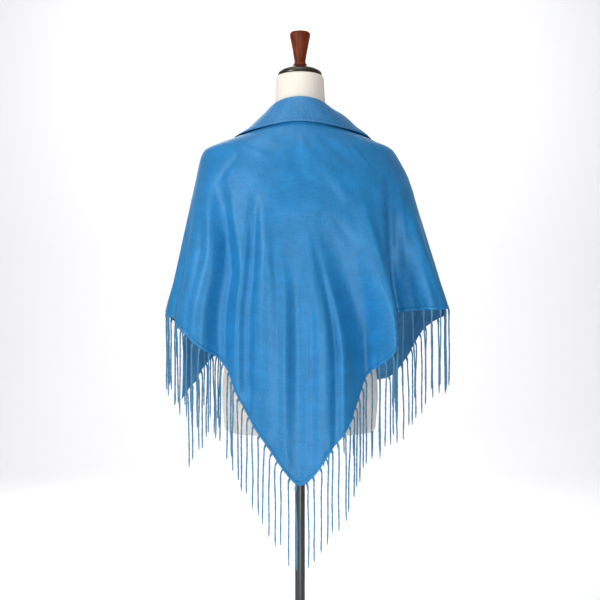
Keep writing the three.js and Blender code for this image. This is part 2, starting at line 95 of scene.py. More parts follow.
# Fringed hem: angle, height
HEM = np.array([
    (-194, 712), (-186, 752), (-175, 800), (-155, 848), (-114, 905), (-90, 934), (-70, 925), (-58, 905),
    (-48, 882), (-32, 818), (-20, 719), (-12, 664), (-5, 614), (0, 593), (5, 613), (12, 668), (18, 710),
    (26, 800), (35, 860), (39.5, 920), (46, 934), (75, 942), (92, 939), (105, 925), (118, 904),
    (124, 883), (140, 796), (148, 782), (165, 785), (185, 804), (215, 842), (222, 830), (230, 790),
    (241.5, 743),
], dtype=float)

# Folds: angle where each starts, angle where it is full, half width in degrees, how far it stands
# out, how far it leans round, and the heights it grows between
FOLDS = np.array([
    # the large folds
    (-68, -52, 14, 13, -3, 1240, 940),
    (-54, -34, 8, -24, 0, 1250, 1010),
    (-66, -44, 7, 9, 0, 1240, 1050),
    (-24, -22, 4, -10, 0, 1190, 1050),
    (-19, -15.5, 5, 5, 0, 1195, 1060),
    (-17, -9.5, 9, 11, 0, 1180, 860),
    (-2, -1, 4, -5, 0, 1095, 920),
    (2, 4.5, 3.5, 6, 0, 1090, 900),
    (3.5, 8.5, 4.5, 8, 0, 1090, 880),
    (9.5, 25.5, 11.3, -41, 0, 1150, 850),
    (28, 33.5, 7, 17, 6, 1235, 900),
    (54, 43, 9, -40, 0, 1245, 930),
    (53, 45, 4.4, -8, 0, 1240, 1080),
    (56, 59, 7, 10, 0, 1215, 930),
    (59, 51, 9.5, -34, 0, 1200, 940),
    (68, 68, 8.5, 12, 0, 1230, 960),
    (72, 84, 10, 3, 0, 1240, 940),
    (106, 120, 10, -3, 0, 1225, 930),
    (116, 137, 12, 8, 0, 1225, 890),
    (140, 158, 10, -19, 0, 1200, 880),
    (156, 178, 12, 17, 4, 1180, 860),
    (180, 201, 10, -19, 0, 1165, 860),
    (200, 220, 11, 11, -4, 1165, 860),
    (224, 240, 7, -3, 0, 1165, 880),
    # finer creases between them
    (-80, -76, 5, 3, 0, 1180, 980),
    (-70, -66, 4, -3, 0, 1190, 980),
    (-41, -38, 3, -3, 0, 1200, 1000),
    (-36, -31, 2.6, 3, 1, 1190, 960),
    (-17, -8.5, 3, -3, 0, 1150, 960),
    (-11, -6, 3, 2.5, 0, 1120, 920),
    (0.5, 4.2, 2.2, -7, 0, 1090, 900),
    (3, 13, 2.4, -9, 0, 1140, 840),
    (6, 16.5, 3, 4, 0, 1110, 840),
    (17, 27, 3, -3, 0, 1180, 930),
    (27, 36, 2.8, 3.5, 1, 1220, 930),
    (58, 66, 4, 4, 0, 1200, 980),
    (68, 73, 4, -3.5, 0, 1210, 980),
    (84, 90, 6, -7, 0, 1200, 960),
    (96, 104, 6, 7, 0, 1200, 940),
    (-92, -88, 6, -6, 0, 1200, 960),
    (128, 148, 4.5, -6, 0, 1210, 920),
    (149, 168, 4.5, 6, 0, 1190, 900),
    (170, 190, 4, -6, 0, 1170, 900),
    (190, 210, 4.5, 6, 0, 1160, 900),
    (211, 230, 4, -2.5, 0, 1150, 900),
], dtype=float)

# The folds lose this share of their size between these two heights, in the point of the back
FOLD_LOSS, FADE_FROM, FADE_TO = 0.72, 850.0, 640.0
# How much sooner than evenly a fold moves round as it goes down
FOLD_EASE = 0.35

# Shallow slanting creases across the yoke and the lower back, each a soft stroke on the cloth:
# the angle and height of its two ends, its half width in millimetres and how far it stands out
STROKES = np.array([
    (-5, 1290, 14, 1238, 17, 4.0),
    (9, 1256, 28, 1135, 19, 3.6),
    (-10, 1262, 10, 1175, 22, -3.4),
    (12, 1300, 34, 1225, 16, -2.8),
    (-48, 1296, -12, 1238, 13, 3.0),
    (-38, 1300, -6, 1262, 10, -2.6),
    (32, 1290, 42, 1215, 12, 2.4),
    (-36, 1262, -52, 1190, 13, -2.6),
    (-20, 1180, 2, 1120, 20, 2.4),
    (-14, 1080, -18, 990, 11, 1.6),
    (10, 1160, 2, 1080, 12, 1.6),
    (15, 1130, 24, 1050, 12, -1.8),
    (-24, 800, -15, 770, 8, -3.2),
    (-20, 775, -11, 745, 7, 2.2),
    (8, 700, 2, 650, 7, -1.8),
    (-8, 680, -2, 625, 7, 1.8),
    (118, 1296, 162, 1150, 14, 3.6),
    (126, 1268, 176, 1090, 13, -3.4),
    (150, 1236, 206, 1010, 14, 3.4),
    (112, 1262, 138, 1110, 12, -2.8),
    (-118, 1290, -150, 1130, 13, 3.2),
    (-104, 1270, -116, 1120, 12, -3.0),
    (96, 1268, 104, 1130, 12, 2.6),
], dtype=float)
# Millimetres of cloth in one degree, for the strokes' slant
STROKE_REACH = 4.2

# The cloth's angles: where it starts, where its back ends to each side, where it ends
LEFT_END, SIDE_LINE, RIGHT_END = -194.0, 92.0, 241.5
# The right wing's overlap: the angle it starts at, and in how many degrees it is full
OVERLAP_FROM, OVERLAP_OVER = 132.0, 28.0
# The cloth's mesh: columns round, and rows as shares of the collar's fall, as angles in its roll
# and as shares of the drape
COLUMNS = 430
FALL_SHARES = np.linspace(1, 0.09, 11)
ROLL_TURNS = np.linspace(0.08, 0.97, 9) * np.pi
DRAPE_SHARES = np.linspace(0, 1, 73) ** 1.18
# How far the middle of the cloth lies inside the drape's outer face
INSET = 1.0
# The hem's puckers: how far they stand out, how high up they reach, the length of the main ones,
# and the length of one radian and the share of the finer ones
PUCKER, PUCKER_REACH, PUCKER_LENGTH, RIPPLE_LENGTH, RIPPLE_SHARE = 0.8, 22.0, 19.0, 4.3, 0.6
# The collar's fall, over its bow, is this many times as long as its drop
FALL_LENGTH = 1.25
# How much of the duller side's colour the turned-down collar has, a colour that is partly painted light
# for light through the thin cloth
COLLAR_DULLNESS = 0.55
# The drape's rows end this far above the turned hem
HEM_GAP = 3.0
# Rows of the turned hem: share of its width above the edge, millimetres more, how far raised
HEM_ROWS = ((1, 1.5, -0.25), (1, 0, -0.55), (1, -0.8, 0.1), (1, -1.8, 0.55), (0.5, 0, 0.62),
            (0, 1.2, 0.5), (0, 0.3, 0.0))
# The hem's stitched line: how far from the edge, its half width, and the length of a stitch
STITCH_LINE, STITCH_WIDTH, STITCH_LENGTH = 7.6, 0.8, 3.2

# Stretches of fringe: piece, solid, the angles it runs between, and a number to vary its strands by
FRINGES = (
    ("fringe_of_back", "fringe_back", -SIDE_LINE, SIDE_LINE, 100),
    ("fringe_of_left_wing", "fringe_left_wing", LEFT_END, -SIDE_LINE, 300),
    ("fringe_of_right_wing", "fringe_right_wing", SIDE_LINE, RIGHT_END, 500),
)
# A strand of fringe: rings and sides of its mesh, millimetres in one turn of its twist, how far its
# root is sunk in the hem, how long its bend over the edge is, and where its knot sits
STRAND_RINGS, STRAND_SIDES = 46, 9
TWIST_LENGTH, ROOT_SUNK, BEND_LENGTH, KNOT_PLACE = 11.0, 2.5, 15.0, 6.0
# The bend's reach outwards and downwards, as shares of its length
BEND_OUT, BEND_DOWN = 0.42, 0.78
# How much strands differ in place, bend and share of their length
STRAY, BEND_SPREAD, LENGTH_SPREAD = 2.2, 4.0, 0.08
# The yarn's section, as shares of its radius: the round part and the two lobes on it
YARN_CORE, YARN_LOBE = 0.66, 0.34
# As shares of the yarn's radius: how far the knot stands out, what the tip loses, the unevenness
KNOT_SIZE, TIP_LOSS, UNEVEN = 0.75, 0.35, 0.09
# The knot's half length in millimetres
KNOT_HALF = 2.6

# The dress form's sections: height, half width, depth of the back and of the front, power
BODY = np.array([
    (685, 150, 88, 84, 2.2), (688, 155, 92, 88, 2.2), (693, 158, 95, 91, 2.2),
    (775, 163, 112, 102, 2.1), (860, 150, 104, 98, 2.0), (975, 112, 80, 92, 2.0),
    (1060, 126, 90, 112, 2.0), (1130, 142, 102, 132, 2.0), (1200, 154, 106, 120, 1.9),
    (1250, 172, 104, 101, 1.8), (1272, 176, 98, 89, 1.75), (1286, 156, 93, 82, 1.75),
    (1299, 127, 88, 75, 1.8), (1312, 97, 82, 68, 1.85), (1330, 73, 74, 61, 1.95),
    (1352, 57.5, 65, 55, 2.0), (1380, 53, 57, 52, 2.0), (1400, 51.8, 53.5, 51, 2.0),
    (1420, 50.6, 51, 50.4, 2.0), (1426, 49.6, 50, 49.6, 2.0), (1429.7, 46, 46, 46, 2.0),
], dtype=float)
BODY_COLUMNS, BODY_ROWS = 240, 150
# The cover's seams: their angles, half width and depth, and the radius that sets their width
BODY_SEAMS = (0, 180, 38, -38, 142, -142)
SEAM_WIDTH, SEAM_DEPTH, SEAM_RADIUS = 1.7, 0.55, 110
# Shares of their size that the end rings are drawn in to, to close the body's foot and neck
END_SHARES = (0.003, 0.5, 0.9)

# Turned outlines: radius, height
KNOB = np.array([
    (0.2, 0), (12.6, 0), (14, 1), (14.8, 3), (14.2, 5.2), (12.6, 7), (11.8, 9), (11.8, 12),
    (13.4, 22), (15.6, 35), (18.4, 49), (20.8, 60), (21.8, 66.5), (21.4, 69.8), (19.4, 71.8),
    (14, 73.1), (6, 73.8), (0.2, 74),
], dtype=float)
CAP = np.array([
    (0.2, 0), (44.8, 0), (45.9, 0.5), (46.2, 1.6), (46.2, 4), (45.5, 6.2), (42.4, 9.6), (36.4, 13),
    (27, 16.4), (18, 18.6), (14, 19), (0.2, 19.1),
], dtype=float)
POLE = np.array([
    (0.2, 0), (10.2, 0), (10.5, 0.4), (10.5, 669.9), (10.2, 670.3), (0.2, 670.4),
], dtype=float)
BASE = np.array([
    (0.2, 0), (173, 0), (174.6, 0.8), (175, 2.4), (174.8, 5), (173, 7.4), (168, 8.4), (120, 10.2),
    (60, 12.6), (32, 13.8), (0.2, 14),
], dtype=float)
# The heights that the outlines stand on
CAP_FOOT, KNOB_FOOT, POLE_FOOT, BASE_FOOT = 1430.0, 1449.5, 14.3, 0.0
# Points along an outline, besides its corners
OUTLINE_POINTS = 90

# The studio, in metres: the floor's front, where it starts to sweep up, the sweep's radius, two
# heights of the backdrop above the sweep, half the floor's width, and the paper's colour
FLOOR_FRONT, SWEEP_FROM, SWEEP_RADIUS, WALL_LOW, WALL_TOP, FLOOR_SIDE = 6, -3.2, 1.3, 1.8, 6, 7
FLOOR_ROWS, SWEEP_ROWS, WALL_ROWS, FLOOR_COLUMNS = 12, 16, 5, 9
PAPER = (0.81, 0.81, 0.82)
# The camera's lens and the width of its sensor, in millimetres
LENS, SENSOR = 60.0, 36.0
# Lamps: name, place, what it points at, width, watts
LAMPS = (
    ("key", (2.5, 2.2, 1.9), (0.0, 0.0, 1.05), 0.9, 51),
    ("fill", (-0.25, 2.8, 0.42), (0.0, 0.0, 0.92), 1.2, 33),
    ("front", (0.6, -2.6, 2.2), (0.0, 0.0, 1.0), 2.0, 20),
    ("top", (0.3, 0.4, 3.4), (0.0, 0.0, 1.1), 1.8, 21),
    ("backdrop_high", (0.0, -1.6, 3.4), (0.0, -4.5, 1.25), 3.2, 106),
    ("backdrop_low", (0.0, -2.2, 2.6), (0.0, -3.4, 0.0), 3.0, 13),
)
# The strength of the light that comes from all round
AIR_STRENGTH = 0.30


def srgb(code):
    """A hex colour as linear red, green and blue."""
    value = np.array([int(code[i:i + 2], 16) for i in (0, 2, 4)]) / 255
    linear = np.where(value <= 0.04045, value / 12.92, ((value + 0.055) / 1.055) ** 2.4)
    return tuple(float(v) for v in linear)


# ---------------------------------------------------------------- the settings a user would change

class ShawlSettings(bpy.types.PropertyGroup):
    """Sizes and colours of the shawl's cloth and fringe."""
    thickness: bpy.props.FloatProperty(
        name="Cloth thickness", description="Thickness of the satin",
        default=0.0013, unit="LENGTH")
    hem_width: bpy.props.FloatProperty(
        name="Hem width", description="Width of the turned and stitched hem",
        default=0.008, unit="LENGTH")
    overlap: bpy.props.FloatProperty(
        name="Wing overlap", description="How far the right wing lies outside the left",
        default=0.010, unit="LENGTH")
    cloth_colour: bpy.props.FloatVectorProperty(
        name="Cloth colour", description="Colour of the satin",
        default=srgb("1e7bb7"), subtype="COLOR", size=3)
    strand_length: bpy.props.FloatProperty(
        name="Fringe length", description="Length of a strand from hem to tip",
        default=0.165, unit="LENGTH")
    strand_pitch: bpy.props.FloatProperty(
        name="Fringe pitch", description="Distance between strands along the hem",
        default=0.0207, unit="LENGTH")
    yarn: bpy.props.FloatProperty(
        name="Yarn thickness", description="Thickness of a twisted strand",
        default=0.0035, unit="LENGTH")
    fringe_colour: bpy.props.FloatVectorProperty(
        name="Fringe colour", description="Colour of the yarn",
        default=srgb("3c8cba"), subtype="COLOR", size=3)


class FormSettings(bpy.types.PropertyGroup):
    """Colours of the dress form and its stand."""
    cover_colour: bpy.props.FloatVectorProperty(
        name="Cover colour", description="Cotton over the form",
        default=srgb("f3ecdf"), subtype="COLOR", size=3)
    wood_colour: bpy.props.FloatVectorProperty(
        name="Knob colour", description="Stained wood",
        default=srgb("7a300c"), subtype="COLOR", size=3)
    metal_colour: bpy.props.FloatVectorProperty(
        name="Stand colour", description="Gunmetal of the pole and base",
        default=srgb("525656"), subtype="COLOR", size=3)
    cap_colour: bpy.props.FloatVectorProperty(
        name="Cap colour", description="Dark metal of the neck cap",
        default=srgb("4b463f"), subtype="COLOR", size=3)


class StudioSettings(bpy.types.PropertyGroup):
    """Where the camera stands and how bright the studio is."""
    camera_distance: bpy.props.FloatProperty(
        name="Camera distance", description="From the pole's axis", default=2.1, unit="LENGTH")
    camera_height: bpy.props.FloatProperty(
        name="Camera height", description="Above the floor", default=0.96, unit="LENGTH")
    brightness: bpy.props.FloatProperty(
        name="Light", description="Strength of all the lamps together", default=1.0, min=0.0)


# ---------------------------------------------------------------- the drape's formulas

def table_at(rows, column, x):
    """A cubic through one column of a table, with each row's slope that of the chord between its
    neighbours, held level past the ends."""
    key, value = rows[:, 0], rows[:, column]
    slope = np.empty_like(value)
    slope[1:-1] = (value[2:] - value[:-2]) / (key[2:] - key[:-2])
    slope[0] = (value[1] - value[0]) / (key[1] - key[0])
    slope[-1] = (value[-1] - value[-2]) / (key[-1] - key[-2])
    x = np.clip(x, key[0], key[-1])
    i = np.clip(np.searchsorted(key, x, side="right") - 1, 0, len(key) - 2)
    span = key[i + 1] - key[i]
    t = (x - key[i]) / span
    near = value[i] * (1 + 2 * t) * (1 - t) ** 2 + slope[i] * span * t * (1 - t) ** 2
    return near + value[i + 1] * t * t * (3 - 2 * t) + slope[i + 1] * span * t * t * (t - 1)


def rise(t):
    """Smooth step from 0 to 1: 3t^2 - 2t^3."""
    t = np.clip(t, 0, 1)
    return t * t * (3 - 2 * t)


def turned(angle):
    """An angle brought to -180..180 degrees."""
    return (angle + 180) % 360 - 180


def section(at, left, right, back, front, power):
    """A rounded section: x = -w |sin at|^(2/n), y = d |cos at|^(2/n), with its own half width w and
    depth d on each side."""
    s, c = np.sin(np.radians(at)), np.cos(np.radians(at))
    e = 2 / power
    x = -np.where(s > 0, right, left) * np.sign(s) * np.abs(s) ** e
    y = np.where(c > 0, back, front) * np.sign(c) * np.abs(c) ** e
    return np.stack([x, y], axis=-1)


def wrap(at, height):
    """The plain wrapped form's section at each angle and height."""
    return section(at, *(table_at(SECTIONS, k, height) for k in (1, 2, 3, 4, 5)))


def cloth_point(at, height):
    """The drape's outer face: the wrapped form, moved out and round by every fold and stroke.

    A fold is (1 - s^2)^2 across its half width and grows as a smooth step between two heights,
    while its middle goes round by t (1 + ease - ease t^2). A stroke is exp(-2 s^2) across a
    slanting line and dies away at both ends."""
    at, height = np.broadcast_arrays(np.asarray(at, float), np.asarray(height, float))
    here = wrap(at, height)
    along = wrap(at + 0.5, height) - wrap(at - 0.5, height)
    along /= np.linalg.norm(along, axis=-1, keepdims=True)
    outward = np.stack([along[..., 1], -along[..., 0]], axis=-1)
    out, lean = np.zeros(at.shape), np.zeros(at.shape)
    for top, low, half, amount, shift, start, full in FOLDS:
        grown = (start - height) / (start - full)
        t = np.clip(grown, 0, 1)
        middle = top + (low - top) * t * (1 + FOLD_EASE - FOLD_EASE * t * t)
        s = turned(at - middle) / half
        share = np.where(np.abs(s) < 1, (1 - s * s) ** 2, 0) * rise(grown)
        out += amount * share
        lean += shift * share
    fade = 1 - FOLD_LOSS * rise((FADE_FROM - height) / (FADE_FROM - FADE_TO))
    out, lean = out * fade, lean * fade
    for at0, z0, at1, z1, half, amount in STROKES:
        run = np.array([(at1 - at0) * STROKE_REACH, z1 - z0])
        length2 = float(run @ run)
        across, up = turned(at - at0) * STROKE_REACH, height - z0
        t = (across * run[0] + up * run[1]) / length2
        s = (across * run[1] - up * run[0]) / np.sqrt(length2) / half
        ends = rise(2.5 * t) * rise(2.5 * (1 - t))
        out += amount * np.exp(-2 * s * s) * ends
    here = here + outward * out[..., None] + along * lean[..., None]
    return np.concatenate([here, height[..., None]], axis=-1)


def unit(v):
    """Directions of length one."""
    return v / np.maximum(np.linalg.norm(v, axis=-1, keepdims=True), 1e-9)


def cloth_frame(at, height):
    """The drape's outer face with the way out of it, the cross product of two small differences."""
    along = cloth_point(at + 0.15, height) - cloth_point(at - 0.15, height)
    down = cloth_point(at, height - 0.8) - cloth_point(at, height + 0.8)
    return cloth_point(at, height), unit(np.cross(down, along))


def overlap_step(at, amount):
    """How far the right wing is carried out where it lies over the left one, as a smooth step."""
    return amount * rise((at - OVERLAP_FROM) / OVERLAP_OVER)


def lengths(points):
    """The length run along each line of points, from nothing at its first."""
    step = np.linalg.norm(np.diff(points, axis=-2), axis=-1)
    return np.concatenate([np.zeros((*step.shape[:-1], 1)), np.cumsum(step, axis=-1)], axis=-1)


def stations(start, end, count, height=925.0):
    """Angles that divide a stretch of cloth into equal lengths along its folds, and its length."""
    fine = np.linspace(start, end, count * 6)
    run = lengths(cloth_point(fine, np.full(fine.shape, height)))
    return np.interp(np.linspace(0, run[-1], count + 1), run, fine), run[-1]


# ---------------------------------------------------------------- mesh helpers

def make_object(name, points, faces, uv=None, values=None):
    """A smooth object from arrays of points in millimetres and of equal-sided faces, with a UV and
    named values for each point where they are given."""
    points = np.asarray(points, float).reshape(-1, 3) * MM
    faces = np.asarray(faces, np.int32)
    sides = faces.shape[1]
    mesh = bpy.data.meshes.new(name)
    mesh.vertices.add(len(points))
    mesh.vertices.foreach_set("co", points.astype(np.float32).ravel())
    mesh.loops.add(faces.size)
    mesh.loops.foreach_set("vertex_index", faces.ravel())
    mesh.polygons.add(len(faces))
    mesh.polygons.foreach_set("loop_start", np.arange(0, faces.size, sides, dtype=np.int32))
    mesh.polygons.foreach_set("use_smooth", np.full(len(faces), True))
    if uv is not None:
        corners = np.asarray(uv, np.float32).reshape(-1, 2)[faces.ravel()]
        mesh.uv_layers.new(name="UVMap").data.foreach_set("uv", corners.ravel())
    for key, value in (values or {}).items():
        attribute = mesh.attributes.new(key, "FLOAT", "POINT")
        attribute.data.foreach_set("value", np.asarray(value, np.float32).ravel())
    mesh.update(calc_edges=True)
    mesh.validate()
    piece = bpy.data.objects.new(name, mesh)
    bpy.context.scene.collection.objects.link(piece)
    return piece


def grid_faces(columns, rows):
    """Quads of a grid of columns by rows points."""
    i, j = np.meshgrid(np.arange(columns - 1), np.arange(rows - 1), indexing="ij")
    a = (i * rows + j).ravel()
    return np.stack([a, a + 1, a + rows + 1, a + rows], axis=1)


def wall_faces(columns, rows):
    """Quads of a closed wall between two grids of columns by rows points, the first facing out."""
    count = columns * rows
    outer = grid_faces(columns, rows)
    inner = outer[:, ::-1] + count
    j = np.arange(rows - 1)
    i = np.arange(columns - 1) * rows
    last = (columns - 1) * rows

    def edge(p, q):
        """Quads that join the two grids along one side."""
        return np.stack([q, p, p + count, q + count], axis=1)

    edges = [edge(j, j + 1), edge(last + j + 1, last + j), edge(i + rows, i),
             edge(i + rows - 1, i + 2 * rows - 1)]
    return np.concatenate([outer, inner, *edges])


def tube_faces(sections, sides):
    """Quads of one tube of rings, whose ends are drawn in to points."""
    k, s = np.meshgrid(np.arange(sections - 1), np.arange(sides), indexing="ij")
    a = (k * sides + s).ravel()
    b = (k * sides + (s + 1) % sides).ravel()
    return np.stack([a, b, b + sides, a + sides], axis=1)


# ---------------------------------------------------------------- materials

class Shader:
    """A short way to build one node material."""

    def __init__(self, name):
        self.material = bpy.data.materials.new(name)
        self.material.use_nodes = True
        self.tree = self.material.node_tree
        self.surface = self.tree.nodes["Principled BSDF"]

    def node(self, kind, inputs=None, **settings):
        """A new node with its settings and its inputs' values or links."""
        made = self.tree.nodes.new(kind)
        for key, value in settings.items():
            setattr(made, key, value)
        for key, value in (inputs or {}).items():
            self.give(made.inputs[key], value)
        return made

    def give(self, socket, value):
        """Link a socket to an output, or set its value."""
        if isinstance(value, bpy.types.NodeSocket):
            self.tree.links.new(value, socket)
        elif isinstance(value, tuple) and len(value) == 3 and socket.type == "RGBA":
            socket.default_value = (*value, 1.0)
        else:
            socket.default_value = value

    def set(self, **values):
        """Values or links of the surface's own inputs, by name."""
        for key, value in values.items():
            self.give(self.surface.inputs[key.replace("_", " ")], value)

    def uv(self):
        """The mesh's UV."""
        return self.node("ShaderNodeUVMap", uv_map="UVMap").outputs["UV"]

    def place(self):
        """The point's place in the object, in metres."""
        return self.node("ShaderNodeTexCoord").outputs["Object"]

    def value(self, name):
        """One of the mesh's named values."""
        return self.node("ShaderNodeAttribute", attribute_name=name).outputs["Fac"]

    def noise(self, vector, scale, detail=3.0, rough=0.5):
        """Noise with the same scale each way."""
        return self.node("ShaderNodeTexNoise", {
            "Vector": vector, "Scale": scale, "Detail": detail, "Roughness": rough}).outputs["Fac"]

    def streaks(self, vector, scales, detail=3.0, rough=0.5):
        """Noise with its own scale along each axis."""
        made = self.node("ShaderNodeMapping", {"Vector": vector, "Scale": scales})
        return self.noise(made.outputs["Vector"], 1.0, detail, rough)

    def math(self, operation, a, b=0.0, clamp=False):
        """One sum on two values."""
        made = self.node("ShaderNodeMath", {0: a, 1: b}, operation=operation, use_clamp=clamp)
        return made.outputs[0]

    def mix(self, share, a, b):
        """Colour a carried towards b by a share."""
        made = self.node("ShaderNodeMix", data_type="RGBA")
        self.give(made.inputs[0], share)
        self.give(made.inputs[6], a)
        self.give(made.inputs[7], b)
        return made.outputs[2]

    def ramp(self, share, low, high):
        """A value brought from low..high to 0..1 and held there."""
        made = self.node("ShaderNodeMapRange", {"Value": share, "From Min": low, "From Max": high})
        return made.outputs["Result"]

    def tint(self, base, pattern, low, high, share, colour):
        """A colour carried towards another by up to a share, as a pattern goes from low to high."""
        return self.mix(self.math("MULTIPLY", self.ramp(pattern, low, high), share), base, colour)

    def bump(self, height, distance, strength=1.0, under=None):
        """A raised pattern, on top of another one where that is given."""
        made = self.node("ShaderNodeBump", {
            "Height": height, "Distance": distance, "Strength": strength})
        if under is not None:
            self.give(made.inputs["Normal"], under)
        return made.outputs["Normal"]


def shade(colour, factor):
    """A colour made darker or lighter."""
    return tuple(float(c * factor) for c in colour)


def satin_material(colour):
    """Satin with fine slubs along the cloth's width, a soft sheen, patches of painted sheen and painted
    shade, and a stitched hem line darkened with painted shade. Its second side is duller and paler,
    the paleness partly painted light for light that comes through the thin cloth."""
    s = Shader("blue satin")
    uv = s.uv()
    slub = s.streaks(uv, (34.0, 330.0, 1.0), 4.0, 0.65)
    warp = s.streaks(uv, (420.0, 60.0, 1.0), 3.0, 0.6)
    cloud = s.streaks(uv, (6.0, 9.0, 1.0), 4.0, 0.6)
    grain = s.streaks(uv, (330.0, 380.0, 1.0), 4.0, 0.7)
    # Crumple noise: a real bump, and in the colour also painted sheen and painted shade
    crumple_and_sheen = s.streaks(uv, (17.0, 24.0, 1.0), 5.0, 0.62)
    # The second side's colour is partly the satin's duller back and partly painted light: paler, to
    # stand in for light that comes through the thin cloth onto the wings' inner faces
    reverse_colour_and_light_through = tuple(0.82 * c + 0.09 + 0.24 * colour[1] for c in colour)
    base = s.mix(s.value("reverse_and_light_through"), colour, reverse_colour_and_light_through)
    tints = (
        (cloud, 0.68, 0.32, 0.6, 0.80),
        (slub, 0.62, 0.36, 0.7, 0.70),
        (warp, 0.5, 0.72, 0.30, 1.35),
        (grain, 0.42, 0.66, 0.42, 1.42),
        # The crumple noise's two tints are painted sheen and painted shade: lighter and darker patches
        # for the satin's uneven sheen
        (crumple_and_sheen, 0.47, 0.7, 0.42, 1.32),
        (crumple_and_sheen, 0.5, 0.3, 0.35, 0.78),
    )
    for pattern, low, high, share, factor in tints:
        base = s.tint(base, pattern, low, high, share, shade(colour, factor))
    off = s.math("ABSOLUTE", s.math("SUBTRACT", s.value("edge"), STITCH_LINE))
    line = s.math("SUBTRACT", 1.0, s.math("DIVIDE", off, STITCH_WIDTH), clamp=True)
    turn = s.math("MULTIPLY", s.value("run"), 2 * np.pi / STITCH_LENGTH)
    stitch = s.math("MULTIPLY", line, s.ramp(s.math("SINE", turn), -0.5, 0.2))
    # Painted shade: the stitched line's colour is darkened as the shade in its groove
    base = s.mix(s.math("MULTIPLY", line, 0.6), base, shade(colour, 0.45))
    s.set(Base_Color=base, Roughness=s.ramp(slub, -0.85, 2.2), Metallic=0.0)
    s.surface.inputs["Specular IOR Level"].default_value = 0.58
    s.surface.inputs["Specular Tint"].default_value = (0.62, 0.86, 1.0, 1.0)
    s.surface.inputs["Sheen Weight"].default_value = 0.12
    s.surface.inputs["Sheen Roughness"].default_value = 0.35
    s.surface.inputs["Sheen Tint"].default_value = (0.3, 0.7, 1.0, 1.0)
    bumps = (
        (slub, 0.0008, 0.7),
        (warp, 0.0004, 0.5),
        (cloud, 0.006, 0.35),
        (crumple_and_sheen, 0.003, 0.4),
        (s.math("MULTIPLY", line, -1.0), 0.0006, 0.8),
        (stitch, 0.0004, 0.6),
    )
    weave = None
    for pattern, distance, strength in bumps:
        weave = s.bump(pattern, distance, strength, weave)
    s.set(Normal=weave)
    return s.material


def yarn_material(colour):
    """Loosely twisted yarn, its fibres running with the twist."""
    s = Shader("fringe yarn")
    fibre = s.streaks(s.uv(), (9.0, 420.0, 1.0), 3.0, 0.6)
    patch = s.noise(s.place(), 14.0, 2.0)
    base = s.mix(s.ramp(fibre, 0.3, 0.7), shade(colour, 0.62), shade(colour, 1.18))
    base = s.tint(base, patch, 0.4, 0.65, 0.35, shade(colour, 0.72))
    s.set(Base_Color=base, Roughness=0.62, Metallic=0.0)
    s.surface.inputs["Sheen Weight"].default_value = 0.3
    s.surface.inputs["Sheen Roughness"].default_value = 0.5
    s.set(Normal=s.bump(fibre, 0.0004, 0.7))
    return s.material


def cover_material(colour):
    """Close cream cotton, stretched over the form, with a fine grain and a faint cloud."""
    s = Shader("cream cotton cover")
    place = s.place()
    fine = s.noise(place, 900.0, 2.0)
    cloud = s.noise(place, 9.0)
    base = s.mix(s.ramp(cloud, 0.3, 0.7), shade(colour, 0.95), colour)
    base = s.tint(base, fine, 0.4, 0.7, 0.25, shade(colour, 0.88))
    s.set(Base_Color=base, Roughness=0.88, Metallic=0.0)
    s.surface.inputs["Sheen Weight"].default_value = 0.15
    s.set(Normal=s.bump(fine, 0.0003, 0.35))
    return s.material


def wood_material(colour):
    """Dark stained, varnished wood with its grain along the knob."""
    s = Shader("stained knob wood")
    place = s.place()
    grain = s.streaks(place, (160.0, 160.0, 9.0), 5.0, 0.62)
    pore = s.streaks(place, (900.0, 900.0, 40.0), 2.0)
    base = s.mix(s.ramp(grain, 0.32, 0.68), shade(colour, 0.42), shade(colour, 1.25))
    base = s.tint(base, pore, 0.5, 0.72, 0.4, shade(colour, 0.35))
    s.set(Base_Color=base, Roughness=0.38, Metallic=0.0, Coat_Weight=0.02, Coat_Roughness=0.2)
    s.surface.inputs["Specular IOR Level"].default_value = 0.2
    s.set(Normal=s.bump(grain, 0.0004, 0.25))
    return s.material


def metal_material(name, colour, roughness, scales):
    """Satin metal with fine drawn marks, which have their own scale along each axis."""
    s = Shader(name)
    place = s.place()
    drawn = s.streaks(place, scales)
    base = s.mix(s.ramp(drawn, 0.3, 0.7), shade(colour, 0.86), shade(colour, 1.08))
    smudge = s.node("ShaderNodeMapRange", {
        "Value": s.noise(place, 22.0), "To Min": roughness - 0.07, "To Max": roughness + 0.09})
    s.set(Base_Color=base, Metallic=0.9, Roughness=smudge.outputs["Result"],
          Normal=s.bump(drawn, 0.00015, 0.3))
    return s.material


def paper_material(colour):
    """Matt studio paper, very slightly clouded."""
    s = Shader("pale studio paper")
    cloud = s.noise(s.place(), 2.0, 2.0)
    s.set(Base_Color=s.mix(cloud, shade(colour, 0.99), colour), Roughness=0.9, Metallic=0.0)
    s.surface.inputs["Specular IOR Level"].default_value = 0.15
    return s.material


# ---------------------------------------------------------------- pieces

